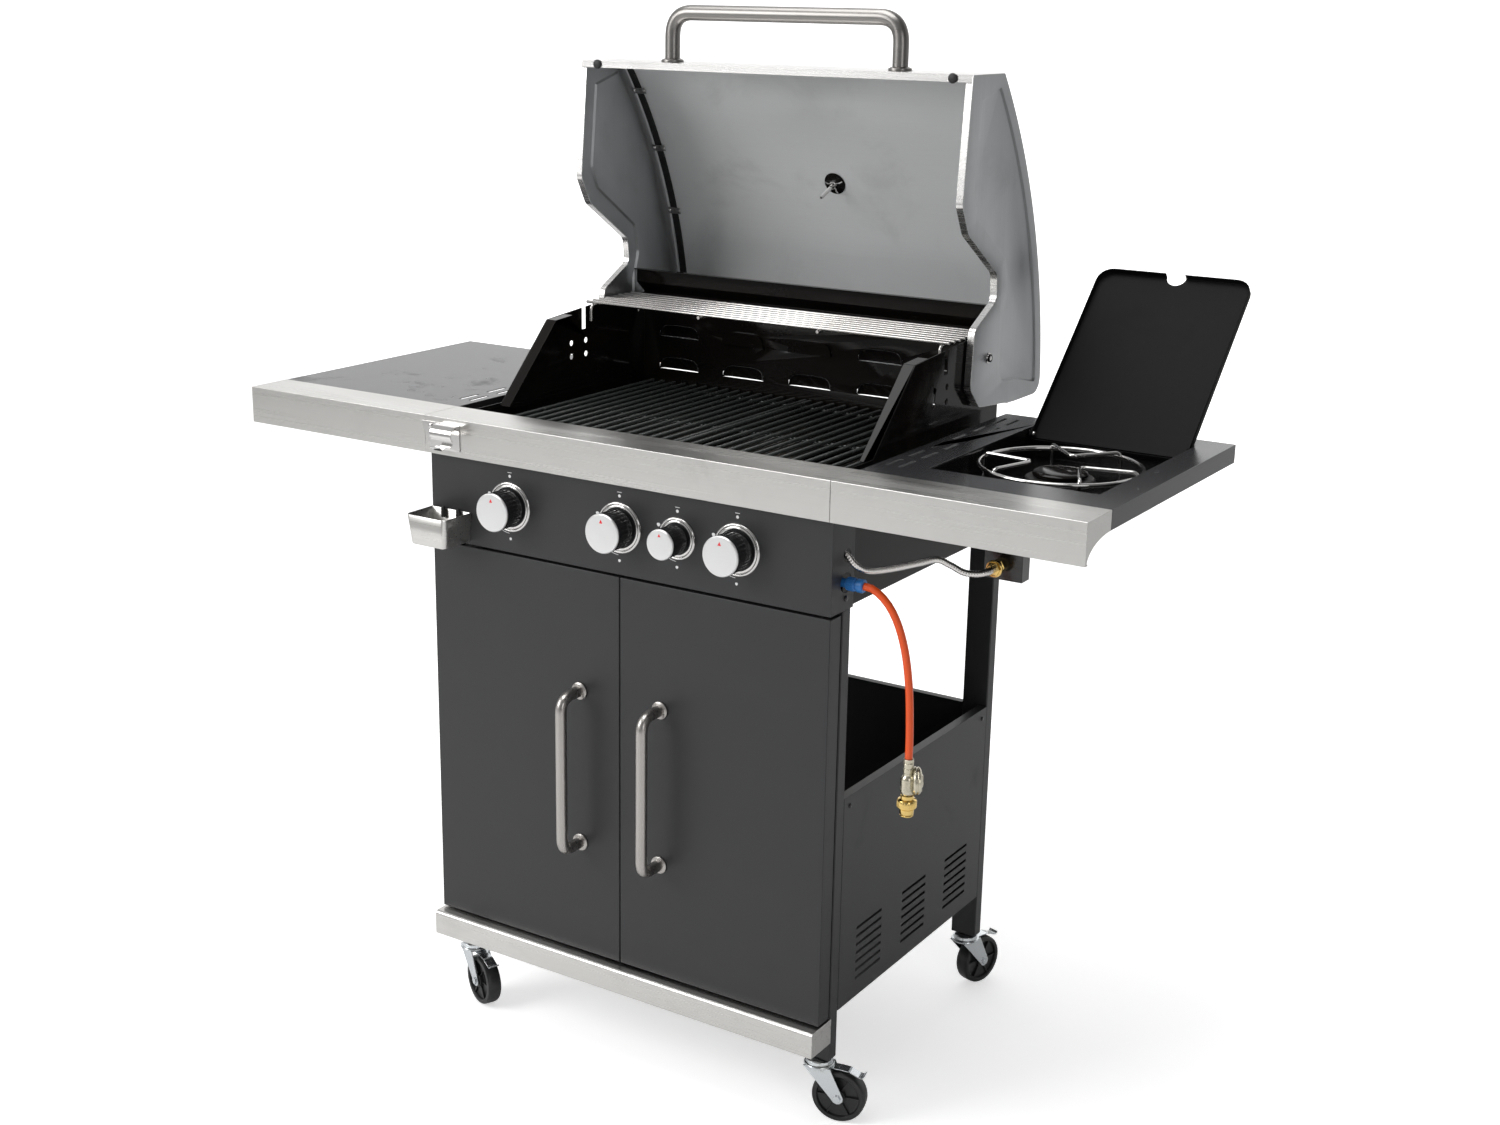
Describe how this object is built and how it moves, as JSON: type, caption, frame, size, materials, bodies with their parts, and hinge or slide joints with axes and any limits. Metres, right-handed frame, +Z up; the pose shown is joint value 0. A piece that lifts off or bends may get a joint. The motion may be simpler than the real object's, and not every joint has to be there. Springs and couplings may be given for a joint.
{
  "type": "gas barbecue grill",
  "caption": "Gas barbecue grill on a wheeled cabinet with doors, hinged lids, cooking grates, warming rack, side shelves, side burner and bottle hose.",
  "frame": {"origin": "on the floor at the centre of the outline, seen from above", "axes": "+X to the right for someone who stands in front, +Y from the front to the back, +Z up"},
  "size_m": [1.32, 0.698, 1.4572],
  "materials": {
    "brushed_steel": "brushed along the width",
    "lid_steel": "fine brushed stainless steel",
    "polished_steel": "polished stainless steel",
    "powder_coat": "satin anthracite powder coat",
    "enamel": "glossy black enamel",
    "black_coat": "matt black coat",
    "iron": "dark enamelled iron",
    "zinc": "bright zinc plate",
    "wheel_plastic": "black moulded plastic",
    "knob_plastic": "black plastic, bright face",
    "blue_plastic": "blue moulded plastic",
    "orange_rubber": "smooth orange rubber",
    "brass": "turned brass",
    "raw_zinc": "yellowish cast zinc"
  },
  "bodies": {
    "frame": {"front_post_left": "powder_coat", "front_post_right": "powder_coat", "rear_post_left": "powder_coat", "rear_post_right": "powder_coat", "side_panel_left": "powder_coat", "side_panel_right": "powder_coat", "rear_panel": "powder_coat", "bottom_shelf": "powder_coat", "left_shelf": "powder_coat", "right_shelf": "powder_coat", "control_panel": "powder_coat", "bottom_trim": "brushed_steel", "center_trim": "brushed_steel", "left_trim": "brushed_steel", "right_trim": "brushed_steel", "cap_catcher": "brushed_steel", "pan_support": "polished_steel", "burner_1": "polished_steel", "burner_2": "polished_steel", "burner_3": "polished_steel", "gas_pipe": "polished_steel", "bottle_opener": "polished_steel", "side_burner_pan": "enamel", "side_burner_head": "enamel", "firebox": "enamel", "gas_manifold": "raw_zinc", "regulator": "raw_zinc", "flame_tamer_1": "iron", "flame_tamer_2": "iron", "flame_tamer_3": "iron", "pipe_fitting": "brass", "regulator_nut": "brass", "hose_connector": "blue_plastic", "gas_hose": "orange_rubber"},
    "lid": {"lid_hood": "lid_steel", "lid_side_left": "lid_steel", "lid_side_right": "lid_steel", "lid_handle": "polished_steel", "thermometer": "polished_steel"},
    "side_lid": {"side_burner_lid": "black_coat"},
    "left_door": {"door_left": "powder_coat", "door_handle_left": "polished_steel"},
    "right_door": {"door_right": "powder_coat", "door_handle_right": "polished_steel"},
    "left_grate": {"cooking_grate_left": "iron"},
    "right_grate": {"cooking_grate_right": "iron"},
    "rack": {"warming_rack": "polished_steel"},
    "tray": {"grease_tray": "raw_zinc"},
    "control_1": {"knob_1": "knob_plastic"},
    "control_2": {"knob_2": "knob_plastic"},
    "control_3": {"knob_3": "knob_plastic"},
    "control_side": {"knob_side": "knob_plastic"},
    "swivel_front_left": {"castor_fork_front_left": "zinc"},
    "wheel_front_left": {"castor_wheel_front_left": "wheel_plastic"},
    "swivel_front_right": {"castor_fork_front_right": "zinc"},
    "wheel_front_right": {"castor_wheel_front_right": "wheel_plastic"},
    "swivel_rear_left": {"castor_fork_rear_left": "zinc"},
    "wheel_rear_left": {"castor_wheel_rear_left": "wheel_plastic"},
    "swivel_rear_right": {"castor_fork_rear_right": "zinc"},
    "wheel_rear_right": {"castor_wheel_rear_right": "wheel_plastic"}
  },
  "joints": [
    {"name": "lid_hinge", "type": "hinge", "parent": "frame", "child": "lid", "pos_m": [0, 0.1415, 0.993], "axis": [1, 0, 0], "range_deg": [0, 89]},
    {"name": "side_lid_hinge", "type": "hinge", "parent": "frame", "child": "side_lid", "pos_m": [0.50475, 0.1305, 0.9], "axis": [1, 0, 0], "range_deg": [0, 135]},
    {"name": "left_door_hinge", "type": "hinge", "parent": "frame", "child": "left_door", "pos_m": [-0.314, -0.2725, 0.44], "axis": [0, 0, -1], "range_deg": [0, 100]},
    {"name": "right_door_hinge", "type": "hinge", "parent": "frame", "child": "right_door", "pos_m": [0.314, -0.2725, 0.44], "axis": [0, 0, 1], "range_deg": [0, 100]},
    {"name": "left_grate_lift", "type": "slide", "parent": "frame", "child": "left_grate", "axis": [0, 0, 1], "range_m": [0, 0.1]},
    {"name": "right_grate_lift", "type": "slide", "parent": "frame", "child": "right_grate", "axis": [0, 0, 1], "range_m": [0, 0.1]},
    {"name": "rack_lift", "type": "slide", "parent": "frame", "child": "rack", "axis": [0, 0, 1], "range_m": [0, 0.08]},
    {"name": "tray_slide", "type": "slide", "parent": "frame", "child": "tray", "axis": [0, 1, 0], "range_m": [0, 0.3]},
    {"name": "knob_1_turn", "type": "hinge", "parent": "frame", "child": "control_1", "pos_m": [-0.1845, -0.2955, 0.794], "axis": [0, -1, 0], "range_deg": [0, 180]},
    {"name": "knob_2_turn", "type": "hinge", "parent": "frame", "child": "control_2", "pos_m": [0, -0.2955, 0.794], "axis": [0, -1, 0], "range_deg": [0, 180]},
    {"name": "knob_3_turn", "type": "hinge", "parent": "frame", "child": "control_3", "pos_m": [0.1845, -0.2955, 0.794], "axis": [0, -1, 0], "range_deg": [0, 180]},
    {"name": "knob_side_turn", "type": "hinge", "parent": "frame", "child": "control_side", "pos_m": [0.09225, -0.2955, 0.794], "axis": [0, -1, 0], "range_deg": [0, 180]},
    {"name": "swivel_front_left_turn", "type": "hinge", "parent": "frame", "child": "swivel_front_left", "pos_m": [-0.3028, -0.248, 0.09], "axis": [0, 0, 1], "continuous": true},
    {"name": "wheel_front_left_roll", "type": "hinge", "parent": "swivel_front_left", "child": "wheel_front_left", "pos_m": [-0.27533, -0.26006, 0.0375], "axis": [0.4019, 0.9157, 0], "continuous": true},
    {"name": "swivel_front_right_turn", "type": "hinge", "parent": "frame", "child": "swivel_front_right", "pos_m": [0.3028, -0.248, 0.09], "axis": [0, 0, 1], "continuous": true},
    {"name": "wheel_front_right_roll", "type": "hinge", "parent": "swivel_front_right", "child": "wheel_front_right", "pos_m": [0.33186, -0.24054, 0.0375], "axis": [-0.2487, 0.9686, 0], "continuous": true},
    {"name": "swivel_rear_left_turn", "type": "hinge", "parent": "frame", "child": "swivel_rear_left", "pos_m": [-0.3028, 0.197, 0.09], "axis": [0, 0, 1], "continuous": true},
    {"name": "wheel_rear_left_roll", "type": "hinge", "parent": "swivel_rear_left", "child": "wheel_rear_left", "pos_m": [-0.31688, 0.22349, 0.0375], "axis": [-0.8829, -0.4695, 0], "continuous": true},
    {"name": "swivel_rear_right_turn", "type": "hinge", "parent": "frame", "child": "swivel_rear_right", "pos_m": [0.3028, 0.197, 0.09], "axis": [0, 0, 1], "continuous": true},
    {"name": "wheel_rear_right_roll", "type": "hinge", "parent": "swivel_rear_right", "child": "wheel_rear_right", "pos_m": [0.31137, 0.22575, 0.0375], "axis": [-0.9583, 0.2857, 0], "continuous": true}
  ]
}
